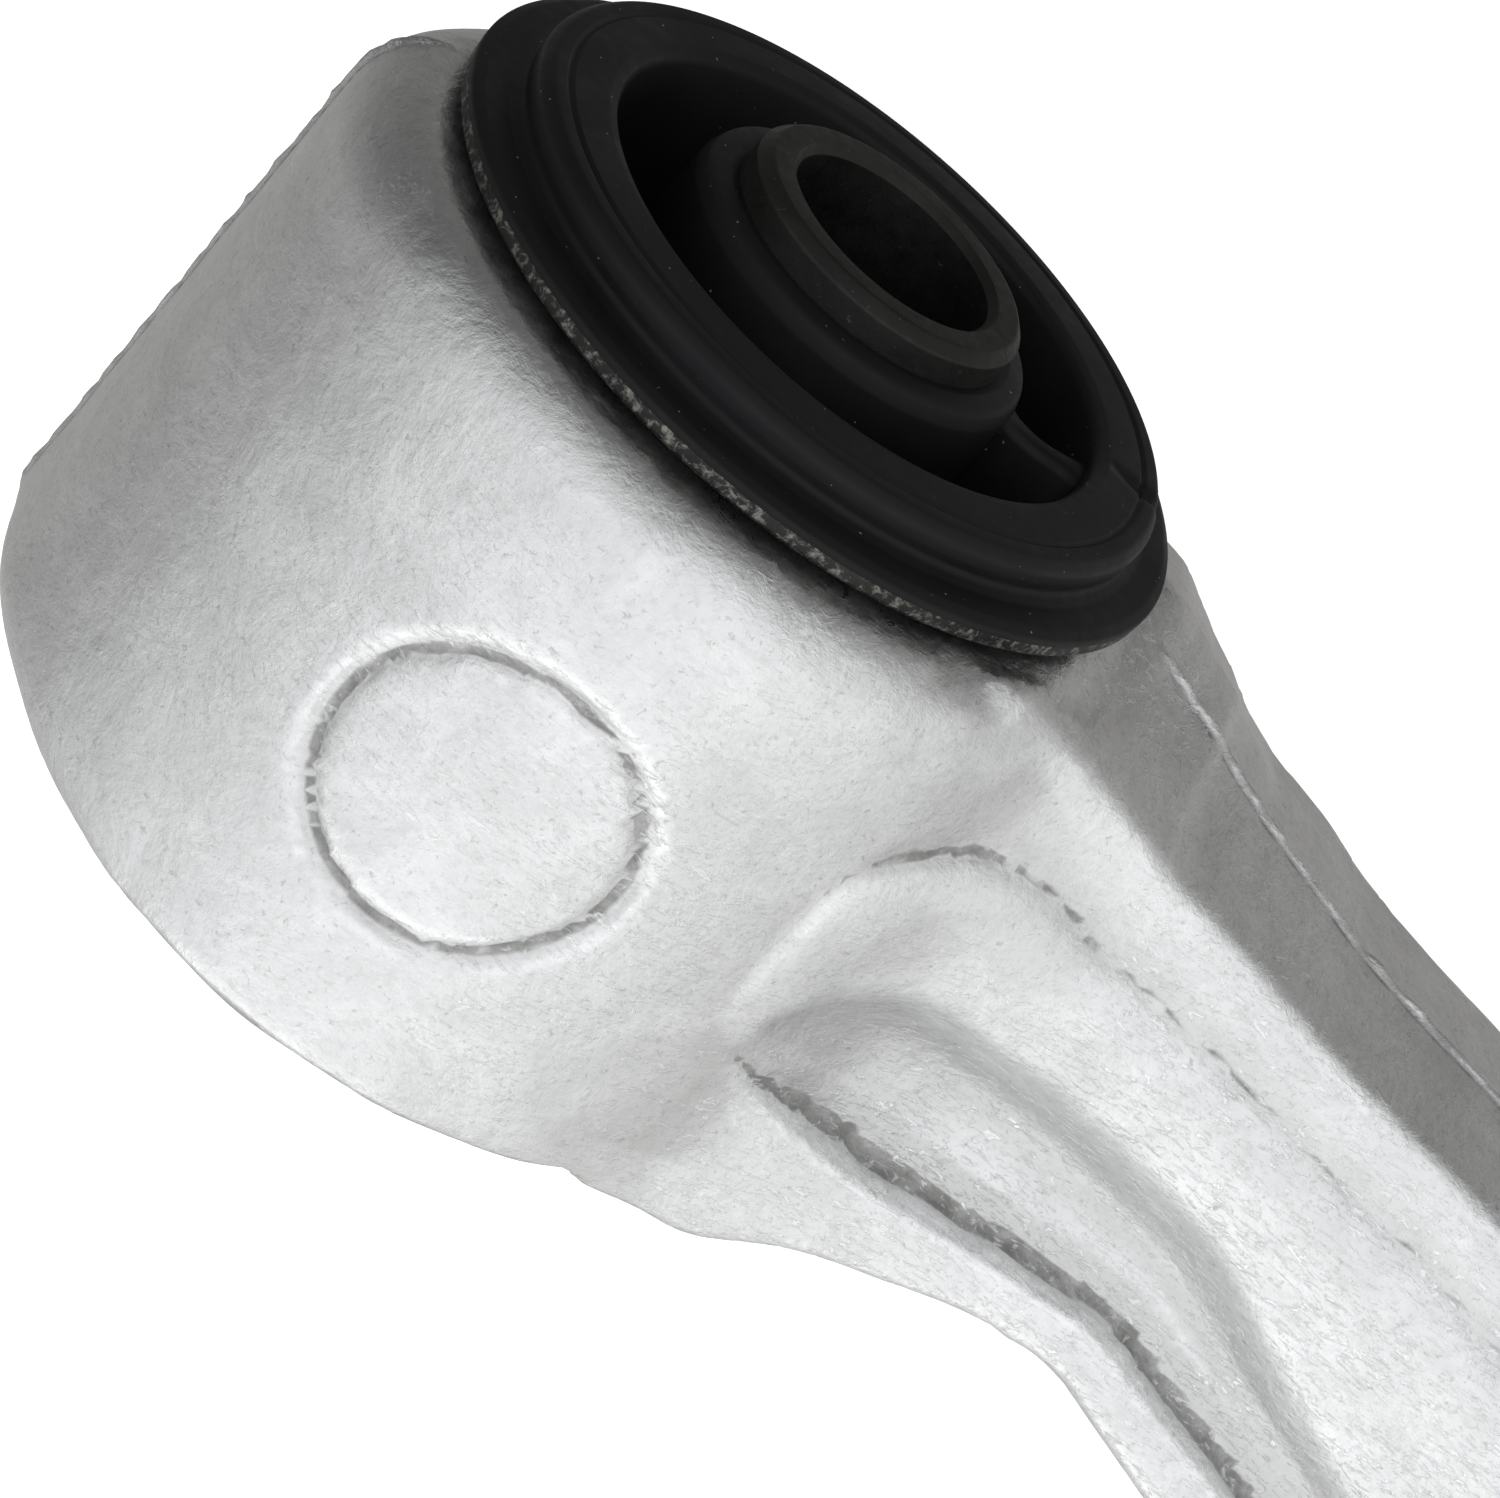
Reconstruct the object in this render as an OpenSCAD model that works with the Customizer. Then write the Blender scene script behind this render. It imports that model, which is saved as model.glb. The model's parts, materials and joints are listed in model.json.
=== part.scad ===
// Curved forged control arm: a bonded rubber bush at one end, a sealed ball joint at the other.
// Millimetres. Origin at the middle of the bush bore. +Y runs along the bush bore,
// +X points at the ball joint, +Z points along the ball stud and out of the forging's upper die.

/* [Arm forging] */
// Distance from the bush bore to the ball joint along X
arm_span = 350; // [280:5:420]
// Sideways offset of the ball joint from the bush centre, towards -Y
joint_offset = 32; // [0:1:60]
// Extra bow of the arm between its two ends
arm_bow = 20; // [0:1:40]
// Width of the arm along its middle
arm_w = 34; // [28:1:46]
// Width of the neck just past the bush boss
neck_w = 31; // [26:1:44]
// Thickness of the arm over its ribs
arm_t = 20; // [16:1:28]
// Width of the flat land along each side of the arm
land_w = 5.6; // [4:0.2:8]
// Height of the crown above the lands, next to the bush boss
crown_h = 0.9; // [0.4:0.1:2]
// Depth of the web below the lands along the middle of the arm
web_depth = 4.2; // [2:0.1:6]
// Thickness of metal left between the two pockets beside the bush boss
pocket_web_t = 16.4; // [8:0.2:18]
// Length of the pocket beside the bush boss
pocket_len = 84; // [50:1:96]
// Width of the pocket at its wide end
pocket_w = 12.6; // [8:0.2:18]
// Outside diameter of the bush boss
boss_d = 60.6; // [54:0.2:76]
// Length of the bush boss
boss_len = 42; // [30:0.5:60]
// Diameter of the round mark on the bush boss
mark_d = 20.2; // [12:0.2:26]
// Offset of the round mark from the bush centre, along the arm
mark_x = 2; // [-5:0.1:5]
// Offset of the round mark from the bush centre, along the bush
mark_y = -1.4; // [-5:0.1:5]
// Outside diameter of the ring that holds the ball joint
ring_d = 60; // [52:0.5:76]
// Height of the ring that holds the ball joint
ring_h = 26; // [20:0.5:36]

/* [Bush] */
// Outside diameter of the bush's outer sleeve, a press fit in the boss
sleeve_od = 46; // [42:0.5:52]
// Wall of the outer sleeve
sleeve_wall = 2; // [1.5:0.1:3]
// How far the flange stands out beyond the outer sleeve
flange_over = 2.8; // [1.2:0.1:5]
// Thickness of the flange
flange_t = 1.5; // [1:0.1:3]
// Bore of the inner sleeve
bush_bore = 14.2; // [10.2:0.1:16.4]
// Outside diameter of the inner sleeve
inner_od = 19.5; // [18:0.1:22]
// Length of the inner sleeve
inner_len = 57.8; // [50:0.2:80]
// Height of the rubber lip above the flange
lip_h = 3.4; // [2:0.1:6]
// Thickness of the rubber skin inside the outer sleeve
skin_t = 3.4; // [2:0.1:5]
// Width of the rubber lip
lip_w = 5.4; // [3:0.1:6.4]
// Thickness of the rubber collar round the inner sleeve
collar_t = 2.15; // [1.2:0.05:4]
// Width of the thin rubber rib across the void
rib_w = 2; // [1:0.1:4]
// Half the length of the solid rubber web between the sleeves
web_half = 8; // [5:0.5:14]

/* [Ball joint] */
// Diameter of the ball
ball_d = 27; // [22:0.5:32]
// Outside diameter of the joint housing, a press fit in the ring
housing_d = 44; // [38:0.5:50]
// Diameter of the stud's neck
neck_d = 16; // [13:0.5:20]
// Large diameter of the stud's taper
taper_d = 18; // [15:0.5:22]
// Length of the stud's taper
taper_len = 20; // [14:0.5:28]
// Thread diameter of the stud
thread_d = 14; // [12:1:18]
// Length of the thread
thread_len = 20; // [14:0.5:30]
// Height of the dust boot above the housing
boot_h = 14; // [12:0.5:22]
// Widest diameter of the dust boot
boot_d = 47; // [40:0.5:58]

/* [Hidden] */
fine = 128;

// Bush and boss
boss_r = boss_d / 2;
sleeve_r = sleeve_od / 2;
bore_r = sleeve_r - 0.02;
flange_y = boss_len / 2 + 0.3;
flange_top = flange_y + flange_t;
lip_top = flange_top + lip_h;
flange_r = sleeve_r + flange_over;
skin_r = sleeve_r - sleeve_wall - skin_t;
lip_r = skin_r + lip_w;
collar_r = inner_od / 2 + collar_t;
collar_top = inner_len / 2 - 2.4;
mark_r = mark_d / 2;

// Ball joint, measured from the ball's centre at z = 0
joint_x = arm_span;
joint_y = -joint_offset;
ring_r = ring_d / 2;
ball_r = ball_d / 2;
seat_r = ball_r + 1.8;
housing_r = housing_d / 2;
shoulder_z = ring_h / 2;
housing_top = shoulder_z + 8.5;
housing_bottom = -shoulder_z - 5;
throat_z = ball_r * 0.62;
cover_z = housing_bottom + 2.2;
boot_base = shoulder_z + 4.6;
boot_top = housing_top + boot_h;
taper_z = boot_top + 1.5;
thread_z = taper_z + taper_len + 2;
stud_top = thread_z + thread_len;
circlip_z = -shoulder_z - 0.8;
// Widest angle the stud leans when both tilts are at their limits, with room to spare
lean = 20.5;

// Arm thickness: the boss flows down into the lands over a short distance
land_top = arm_t / 2;
junction_x = boss_r * 0.71;
junction_z = boss_r * 0.66;
function land_z(x) =
    let (near = (junction_z - land_top) * exp(-max(0, x - junction_x) / 14),
         far = (shoulder_z - land_top) * exp(-max(0, joint_x - ring_r + 4 - x) / 12))
    min(junction_z, land_top + near + far);
function blend(a, b, x) = let (t = min(1, max(0, (x - a) / (b - a)))) t * t * (3 - 2 * t);
crown_end = boss_r - 4 + pocket_len;
function crown_z(x) = land_z(x) + crown_h * (1 - blend(crown_end - 25, crown_end, x));
function web_z(x) = land_z(x) - web_depth;

// Stations along the arm: x, y of the middle, half the width. The first ones leave the boss,
// the rest follow the bow out to the ball joint.
bow_x = boss_r + 50;
bow_y = -9;
function bow(u) = [bow_x + (joint_x - bow_x) * u,
                   bow_y + (joint_y - bow_y) * u - 4 * arm_bow * u * (1 - u),
                   arm_w / 2 + (ring_r * 0.72 - arm_w / 2) * pow(u, 6)];
stations = concat(
    [[boss_r - 14, 0, boss_len / 2 - 0.4],
     [boss_r - 6, -0.8, boss_len / 2],
     [boss_r + 2.7, -2.6, boss_len / 2 - 1.2],
     [boss_r + 9, -2.7, (boss_len / 2 + neck_w / 2) / 2 + 0.2],
     [boss_r + 16, -2.5, neck_w / 2 + 1.3],
     [boss_r + 24, -2.7, neck_w / 2],
     [boss_r + 33, -4.3, neck_w / 2 + 0.6]],
    [for (i = [0:8]) bow(i / 8)]);
last = len(stations) - 1;
function at(i) = stations[min(last, max(0, i))];
function spline(i, t) =
    let (a = at(i - 1), b = at(i), c = at(i + 1), d = at(i + 2))
    0.5 * (2 * b + (c - a) * t + (2 * a - 5 * b + 4 * c - d) * t * t
           + (3 * b - a - 3 * c + d) * t * t * t);
steps = 4;
path = [for (i = [0:last - 1], s = [0:steps - 1]) spline(i, s / steps), at(last)];
function unit(v) = v / norm(v);
function side(i) =
    let (a = path[max(0, i - 1)], b = path[min(len(path) - 1, i + 1)],
         d = unit([b[0] - a[0], b[1] - a[1]]))
    [-d[1], d[0]];
// Offset curve of the path, dist[i] to the left of its middle at each point
function edge(dist) = [for (i = [0:len(path) - 1]) [path[i][0], path[i][1]] + side(i) * dist[i]];
function reversed(v) = [for (i = [len(v) - 1:-1:0]) v[i]];
half = [for (p = path) p[2]];
xs = [for (p = path) p[0]];

// Slab between a height rule and its mirror image, from one point of the path to another
module slab(heights, first, end) {
    top = [for (i = [first:end]) [xs[i], heights[i]]];
    rotate([90, 0, 0])
        linear_extrude(4 * boss_len + 4 * joint_offset + 4 * arm_bow, center = true)
            polygon(concat(top, [for (p = reversed(top)) [p[0], -p[1]]]));
}

// Strip of the arm's plan between two offset curves of the path
module strip(left_dist, right_dist, first, end) {
    left = edge(left_dist);
    right = edge(right_dist);
    polygon(concat([for (i = [first:end]) left[i]], [for (i = [end:-1:first]) right[i]]));
}

land_heights = [for (x = xs) land_z(x)];
crown_heights = [for (x = xs) crown_z(x)];
web_heights = [for (x = xs) web_z(x)];
inset = [for (h = half) h - land_w];
function last_before(x) = max([for (i = [0:len(xs) - 1]) if (xs[i] < x) i]);

// Arm body: flat lands along both sides, and between them a crown that flows out of the boss
module arm_body() {
    end = len(path) - 1;
    crown_stop = last_before(crown_end);
    intersection() {
        linear_extrude(2 * boss_r, center = true) strip(half, -half, 0, end);
        slab(land_heights, 0, end);
    }
    intersection() {
        linear_extrude(2 * boss_r, center = true) strip(inset, -inset, 0, crown_stop);
        slab(crown_heights, 0, crown_stop);
    }
}

// Web between the lands along the middle of the arm
module web_cut() {
    first = last_before(crown_end + 14);
    end = len(path) - 1 - steps;
    difference() {
        linear_extrude(boss_r) strip(inset, -inset, first, end);
        slab(web_heights, first - 1, end + 1);
    }
}

// Pocket beside the -Y land: wide next to the boss, narrowing along the arm
module pocket_cut() {
    from_x = boss_r - 4;
    first = last_before(from_x) + 1;
    end = last_before(from_x + pocket_len - 8);
    inner = [for (h = half) -h + land_w + 0.6];
    outer = [for (i = [0:len(path) - 1])
        inner[i] + pocket_w * (1 - 0.6 * blend(from_x + 14, from_x + 50, xs[i]))];
    translate([0, 0, pocket_web_t / 2]) linear_extrude(boss_r) strip(outer, inner, first, end);
}

module at_joint() {
    translate([joint_x, joint_y, 0]) children();
}

// Cylinder along the bush axis
module along_y(r, from, to) {
    translate([0, to, 0]) rotate([90, 0, 0]) cylinder(r = r, h = to - from, $fn = fine);
}

module arm_forging() {
    color([0.78, 0.79, 0.80])
    difference() {
        union() {
            along_y(boss_r, -boss_len / 2, boss_len / 2);
            arm_body();
            at_joint() cylinder(r = ring_r, h = ring_h, center = true, $fn = fine);
        }
        for (flip = [0, 1]) mirror([0, 0, flip]) {
            web_cut();
            pocket_cut();
        }
        along_y(bore_r, -boss_len, boss_len);
        at_joint() cylinder(r = housing_r - 0.02, h = 2 * ring_h, center = true, $fn = fine);
        mark_groove();
    }
}

// Shallow round groove on top of the boss that frames the forging's mark
module mark_groove() {
    difference() {
        translate([mark_x, mark_y, 0]) cylinder(r = mark_r, h = boss_d, $fn = fine);
        translate([mark_x, mark_y, 0]) cylinder(r = mark_r - 1.2, h = boss_d, $fn = fine);
        along_y(boss_r - 0.5, -boss_len, boss_len);
    }
}

// Profile turned about the bush axis: x is the radius, y is the place along the axis
module turned_y() {
    rotate([-90, 0, 0]) rotate_extrude($fn = fine) children();
}

module bush_outer_sleeve() {
    r_in = sleeve_r - sleeve_wall;
    color([0.30, 0.30, 0.30])
    turned_y() polygon([[r_in, -flange_y], [sleeve_r, -flange_y], [sleeve_r, flange_y],
        [flange_r, flange_y], [flange_r, flange_top], [r_in, flange_top]]);
}

module bush_rubber() {
    r_in = inner_od / 2 + 0.02;
    r_out = sleeve_r - sleeve_wall - 0.01;
    flare = min(2, (skin_r - collar_r - 1) / 2 - 0.1);
    rib_top = lip_top - 1.5;
    color([0.05, 0.05, 0.055])
    union() {
        // half section, repeated for the far end with a smaller lip that passes the bore
        turned_y() polygon([
            [r_in, -collar_top], [collar_r - 1, -collar_top], [collar_r, -collar_top + 1],
            [collar_r + 0.3 * flare, -web_half - 3], [collar_r + flare, -web_half],
            [skin_r - 1, -web_half], [skin_r, -web_half - 2], [skin_r, -lip_top + 1],
            [skin_r + 0.8, -lip_top], [sleeve_r - 1.2, -lip_top], [sleeve_r - 0.2, -lip_top + 1.2],
            [sleeve_r - 0.2, -flange_y], [r_out, -flange_y],
            [r_out, flange_top], [flange_r - 0.8, flange_top],
            [flange_r - 0.8, flange_top + 0.7], [lip_r - 0.2, flange_top + 1],
            [lip_r, lip_top - 1.2], [lip_r - 1, lip_top], [skin_r + 0.6, lip_top],
            [skin_r, lip_top - 0.8], [skin_r, web_half + 2], [skin_r - 1, web_half],
            [collar_r + flare, web_half], [collar_r + 0.3 * flare, web_half + 3],
            [collar_r, collar_top - 1], [collar_r - 1, collar_top], [r_in, collar_top]]);
        translate([collar_r - 1, web_half - 1, -rib_w / 2 - 0.8])
            cube([skin_r - collar_r + 2, rib_top - web_half + 1, rib_w]);
    }
}

module bush_inner_sleeve() {
    chamfer = 0.6;
    half_len = inner_len / 2;
    color([0.33, 0.33, 0.32])
    turned_y() polygon([[bush_bore / 2, -half_len], [inner_od / 2 - chamfer, -half_len],
        [inner_od / 2, -half_len + chamfer], [inner_od / 2, half_len - chamfer],
        [inner_od / 2 - chamfer, half_len], [bush_bore / 2, half_len]]);
}

// Arc of the ball's outline as [radius, height] points between two angles above the equator
function ball_arc(r, from, to, n) =
    [for (i = [0:n]) let (a = from + (to - from) * i / n) [r * cos(a), r * sin(a)]];

module joint_housing() {
    bore = seat_r + 0.02;
    mouth = neck_d / 2 / cos(lean) + 0.3;
    low = throat_z + 3.4;
    color([0.20, 0.20, 0.21])
    at_joint() rotate_extrude($fn = fine) polygon([
        [bore, cover_z - 0.02], [seat_r - 1.2, cover_z - 0.02], [seat_r - 1.2, housing_bottom],
        [housing_r - 1, housing_bottom],
        [housing_r - 1, circlip_z - 0.9], [housing_r - 2.4, circlip_z - 0.9],
        [housing_r - 2.4, circlip_z + 0.9], [housing_r - 0.3, circlip_z + 0.9],
        [housing_r, circlip_z + 1.4], [housing_r, shoulder_z],
        [housing_r + 3, shoulder_z], [housing_r + 3, shoulder_z + 2.2],
        [housing_r - 2.2, shoulder_z + 2.2], [housing_r - 2.2, housing_top - 1.2],
        [housing_r - 3, housing_top], [mouth + housing_top * tan(lean), housing_top],
        [mouth + low * tan(lean), low], [bore, throat_z]]);
}

module joint_circlip() {
    color([0.16, 0.16, 0.17])
    at_joint() translate([0, 0, circlip_z - 0.75])
    difference() {
        cylinder(r = housing_r + 2.6, h = 1.5, $fn = fine);
        translate([0, 0, -1]) cylinder(r = housing_r - 2.3, h = 4, $fn = fine);
        translate([-3.5, -housing_d, -1]) cube([7, housing_d, 4]);
    }
}

module ball_seat() {
    color([0.86, 0.84, 0.78])
    at_joint() rotate_extrude($fn = fine) polygon(concat(
        [[seat_r, throat_z - 0.2]],
        ball_arc(ball_r + 0.05, 30, -52, 20),
        [[seat_r, (ball_r + 0.05) * sin(-52)]]));
}

module preload_ring() {
    z = -(ball_r + 0.05) * sin(52);
    color([0.12, 0.12, 0.12])
    at_joint() translate([0, 0, cover_z + 1.8])
        difference() {
            cylinder(r = seat_r, h = z - cover_z - 1.85, $fn = fine);
            translate([0, 0, -1]) cylinder(r = ball_r * 0.80, h = 12, $fn = fine);
        }
}

module joint_cover() {
    color([0.62, 0.60, 0.52])
    at_joint() translate([0, 0, cover_z]) cylinder(r = seat_r, h = 1.75, $fn = fine);
}

module ball_stud() {
    neck_r = neck_d / 2;
    thread_r = thread_d / 2;
    small_r = taper_d / 2 - taper_len / 16;
    meet = acos(neck_r / ball_r);
    flat_a = 56;
    color([0.62, 0.63, 0.64])
    at_joint() difference() {
        rotate_extrude($fn = fine) polygon(concat(
            [[0, -ball_r * sin(flat_a)]],
            ball_arc(ball_r, -flat_a, meet, 24),
            [[neck_r, boot_top + 0.2], [taper_d / 2, taper_z], [small_r, taper_z + taper_len],
             [thread_r - 1.1, taper_z + taper_len + 0.6], [thread_r - 1.1, thread_z - 0.9],
             [thread_r, thread_z], [thread_r, stud_top - 1.2], [thread_r - 1.2, stud_top],
             [0, stud_top]]));
        translate([0, 0, stud_top - 7]) cylinder(r = 3.5, h = 8, $fn = 6);
    }
}

module dust_boot() {
    wall = 1.3;
    low_r = housing_r - 2.15;
    top_r = neck_d / 2 + 0.02;
    belly = boot_d / 2;
    mid = (boot_base + boot_top) / 2;
    color([0.06, 0.06, 0.065])
    at_joint() rotate_extrude($fn = fine) polygon([
        [low_r, boot_base - 2.2], [low_r + 1.6, boot_base - 2.2], [low_r + 1.6, boot_base + 1.2],
        [belly - 1, boot_base + 3.4], [belly, mid + 1], [belly - 3, mid + 3.6],
        [top_r + 6.6, boot_top - 4.8], [top_r + 2.6, boot_top - 3.8], [top_r + 2.6, boot_top - 1],
        [top_r + 1.8, boot_top - 0.2], [top_r, boot_top - 0.2], [top_r, boot_top - 5.4],
        [top_r + 6.2, boot_top - 6.4], [belly - 3 - wall, mid + 2.4],
        [belly - wall, mid + 0.6], [belly - 1.6 - wall, boot_base + 4], [low_r, boot_base + 2.4]]);
}

// Wire ring round the boot
module boot_ring(r, z, wire) {
    at_joint() translate([0, 0, z]) rotate_extrude($fn = fine)
        translate([r + wire / 2, 0]) circle(d = wire, $fn = 24);
}

module boot_lower_ring() {
    color([0.55, 0.56, 0.57]) boot_ring(housing_r - 2.15 + 1.62, boot_base - 0.4, 1.4);
}

module boot_upper_ring() {
    color([0.55, 0.56, 0.57]) boot_ring(neck_d / 2 + 2.64, boot_top - 2.4, 1.2);
}

arm_forging();
bush_outer_sleeve();
bush_rubber();
bush_inner_sleeve();
joint_housing();
joint_circlip();
ball_seat();
preload_ring();
joint_cover();
ball_stud();
dust_boot();
boot_lower_ring();
boot_upper_ring();
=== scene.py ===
"""Control arm: forged arm with a bonded bush at one end and a ball joint at the other.

Shapes are written in millimetres and turned into metres in mesh_object. The bush lies along Y with its
middle at the origin, and the ball joint stands along Z at (JX, JY).
"""
import json
import math

import bmesh
import bpy
import numpy as np
from mathutils import Matrix, Vector
from mathutils.geometry import tessellate_polygon


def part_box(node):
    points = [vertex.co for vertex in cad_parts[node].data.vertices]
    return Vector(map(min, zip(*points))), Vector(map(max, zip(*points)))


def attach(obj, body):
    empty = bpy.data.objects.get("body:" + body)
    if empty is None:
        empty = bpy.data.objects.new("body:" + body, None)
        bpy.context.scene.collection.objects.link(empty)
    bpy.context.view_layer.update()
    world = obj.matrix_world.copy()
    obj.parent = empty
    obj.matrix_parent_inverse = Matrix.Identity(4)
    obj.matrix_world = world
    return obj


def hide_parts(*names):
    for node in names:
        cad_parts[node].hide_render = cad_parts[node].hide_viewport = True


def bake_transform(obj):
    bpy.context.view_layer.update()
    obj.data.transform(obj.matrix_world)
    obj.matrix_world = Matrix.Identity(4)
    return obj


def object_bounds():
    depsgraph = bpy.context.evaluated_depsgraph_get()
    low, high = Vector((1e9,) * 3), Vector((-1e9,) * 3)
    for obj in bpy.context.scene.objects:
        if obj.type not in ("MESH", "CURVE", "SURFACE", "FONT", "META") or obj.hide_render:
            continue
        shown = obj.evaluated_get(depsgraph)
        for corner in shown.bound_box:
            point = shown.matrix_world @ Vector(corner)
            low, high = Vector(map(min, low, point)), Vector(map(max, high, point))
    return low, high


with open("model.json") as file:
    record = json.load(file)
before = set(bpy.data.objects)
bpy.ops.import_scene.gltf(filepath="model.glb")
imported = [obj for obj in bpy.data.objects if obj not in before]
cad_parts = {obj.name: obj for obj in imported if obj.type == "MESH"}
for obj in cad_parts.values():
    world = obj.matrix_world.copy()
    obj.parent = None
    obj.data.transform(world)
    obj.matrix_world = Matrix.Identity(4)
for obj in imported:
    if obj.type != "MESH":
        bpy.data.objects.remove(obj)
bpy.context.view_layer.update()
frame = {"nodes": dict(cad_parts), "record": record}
MM = 0.001

# ---------------------------------------------------------------- sizes, in millimetres
BOSS_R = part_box("arm_forging")[1].z / MM
BOSS_HALF = 21.0
SLEEVE_R = 23.0
JOINT = [j for j in frame["record"]["behaviour"]["joints"] if j["name"] == "stud_spin"][0]["pos_m"]
JX, JY = JOINT[0] / MM, JOINT[1] / MM
RING_R, RING_HALF, HOUSING_R = 30.0, 13.0, 22.0
LAND_TOP, LAND_W = 10.0, 5.2
MARK_X, MARK_Y = 2.0, -1.4
STUD_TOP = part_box("ball_stud")[1].z / MM
CENTRE = (JX, JY, 0)
BALL_R, NECK_R = 13.5, 8.0
LEAN = math.radians(20.5)
MOUTH = NECK_R / math.cos(LEAN) + 0.3
BOOT_FOOT, BOOT_WAIST, BOOT_NECK = 17.6, 26.55, 30.0


# ---------------------------------------------------------------- shape functions
def smax(a, b, r):
    """Intersection of two solids with the edge rounded to radius r."""
    return np.minimum(-r, np.maximum(a, b)) + np.hypot(np.maximum(r + a, 0), np.maximum(r + b, 0))


def smin(a, b, r):
    """Union of two solids with a fillet of radius r."""
    return -smax(-a, -b, r)


def soft_min(a, b, k):
    """Smaller of two heights, blended where they are within k of each other."""
    h = np.clip(0.5 + 0.5 * (b - a) / k, 0, 1)
    return b + (a - b) * h - k * h * (1 - h)


def soft_max(a, b, k):
    """Larger of two heights, blended where they are within k of each other."""
    return -soft_min(-a, -b, k)


def step(a, b, x):
    """Smooth step from 0 at a to 1 at b."""
    t = np.clip((x - a) / (b - a), 0, 1)
    return t * t * (3 - 2 * t)


def waves(x, y, z, s, seed):
    """Gentle unevenness between -1 and 1, from a few crossed sine waves; s sets how close they lie."""
    return (np.sin(x * s + 1.7 * seed + 1.3 * np.sin(y * 0.7 * s + seed))
            * np.sin(y * 1.1 * s + 0.9 * seed + 1.1 * np.sin(z * 0.8 * s + 2 * seed))
            * 0.6 + 0.4 * np.sin(z * 1.3 * s + seed + 1.2 * np.sin(x * 0.9 * s + 3 * seed)))


def surface_net(field, xs, ys, zs):
    """Vertices and quads of the surface field = 0 on a grid."""
    F = np.empty((len(xs), len(ys), len(zs)), np.float32)
    for i in range(0, len(xs), 32):
        F[i:i + 32] = field(xs[i:i + 32, None, None], ys[None, :, None], zs[None, None, :])
    inside = F < 0
    total = np.zeros([n - 1 for n in F.shape], np.int8)
    corners = [(a, b, c) for a in (0, 1) for b in (0, 1) for c in (0, 1)]
    for a, b, c in corners:
        total += inside[a:F.shape[0] - 1 + a, b:F.shape[1] - 1 + b, c:F.shape[2] - 1 + c]
    active = (total > 0) & (total < 8)
    i, j, k = np.nonzero(active)
    index = np.full(active.shape, -1, np.int64)
    index[i, j, k] = np.arange(len(i))
    points, count = np.zeros((len(i), 3)), np.zeros(len(i))
    grid = (xs, ys, zs)
    for p in corners:
        for axis in range(3):
            if p[axis]:
                continue
            q = tuple(v + (n == axis) for n, v in enumerate(p))
            fa, fb = F[i + p[0], j + p[1], k + p[2]], F[i + q[0], j + q[1], k + q[2]]
            m = (fa < 0) != (fb < 0)
            t = np.where(m, fa / np.where(m, fa - fb, 1), 0)
            for n, base in enumerate((i, j, k)):
                a, b = grid[n][base + p[n]], grid[n][base + q[n]]
                points[:, n] += np.where(m, a + t * (b - a), 0)
            count += m
    points /= count[:, None]
    quads = []
    for axis in range(3):
        u, v = (axis + 1) % 3, (axis + 2) % 3
        lo = [slice(1, -1)] * 3
        hi = [slice(1, -1)] * 3
        lo[axis], hi[axis] = slice(0, -1), slice(1, None)
        a, b = inside[tuple(lo)], inside[tuple(hi)]
        for wanted, order in (((a & ~b), (0, 1, 2, 3)), ((~a & b), (3, 2, 1, 0))):
            at = np.array(np.nonzero(wanted)).T
            at[:, u] += 1
            at[:, v] += 1
            ring = []
            for du, dv in ((-1, -1), (0, -1), (0, 0), (-1, 0)):
                c = at.copy()
                c[:, u] += du
                c[:, v] += dv
                ring.append(index[c[:, 0], c[:, 1], c[:, 2]])
            quads.append(np.stack([ring[o] for o in order], 1))
    quads = np.concatenate(quads)
    return points, quads[(quads >= 0).all(1)]


def settle(field, points, rounds=3, reach=0.25):
    """Move points onto the surface along its gradient."""
    e = 0.02
    for _ in range(rounds):
        x, y, z = points.T
        g = np.stack([field(x + e, y, z) - field(x - e, y, z), field(x, y + e, z) - field(x, y - e, z),
                      field(x, y, z + e) - field(x, y, z - e)], 1) / (2 * e)
        length = np.maximum((g * g).sum(1), 0.05)
        move = np.clip(field(x, y, z) / length, -reach, reach)
        points = points - g * move[:, None]
    return points


def mesh_object(name, points, faces, smooth=True):
    """Blender object from points in millimetres."""
    mesh = bpy.data.meshes.new(name)
    points = np.asarray(points, float) * MM
    if isinstance(faces, np.ndarray):
        mesh.vertices.add(len(points))
        mesh.vertices.foreach_set("co", points.ravel())
        mesh.loops.add(faces.size)
        mesh.loops.foreach_set("vertex_index", faces.ravel().astype(np.int32))
        mesh.polygons.add(len(faces))
        mesh.polygons.foreach_set("loop_start", np.arange(0, faces.size, faces.shape[1], dtype=np.int32))
        mesh.update(calc_edges=True)
    else:
        mesh.from_pydata([tuple(p) for p in points], [], faces)
    mesh.validate()
    mesh.polygons.foreach_set("use_smooth", np.full(len(mesh.polygons), smooth))
    mesh.update()
    obj = bpy.data.objects.new(name, mesh)
    bpy.context.scene.collection.objects.link(obj)
    return obj


def netted(name, field, xs, ys, zs):
    """Object of the surface field = 0."""
    points, quads = surface_net(field, xs, ys, zs)
    return mesh_object(name, settle(field, points), quads)


def store_relief(obj, name, field, h):
    """Keep how hollow (below 0) or proud (above 0) the surface is near each point, for the material."""
    co = np.empty(len(obj.data.vertices) * 3)
    obj.data.vertices.foreach_get("co", co)
    x, y, z = (co.reshape(-1, 3) / MM).T
    total = -6 * field(x, y, z)
    for dx, dy, dz in ((h, 0, 0), (-h, 0, 0), (0, h, 0), (0, -h, 0), (0, 0, h), (0, 0, -h)):
        total = total + field(x + dx, y + dy, z + dz)
    relief = obj.data.attributes.new(name, "FLOAT", "POINT")
    relief.data.foreach_set("value", np.clip(total / (h * h), -2, 2).astype(np.float32))


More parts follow.
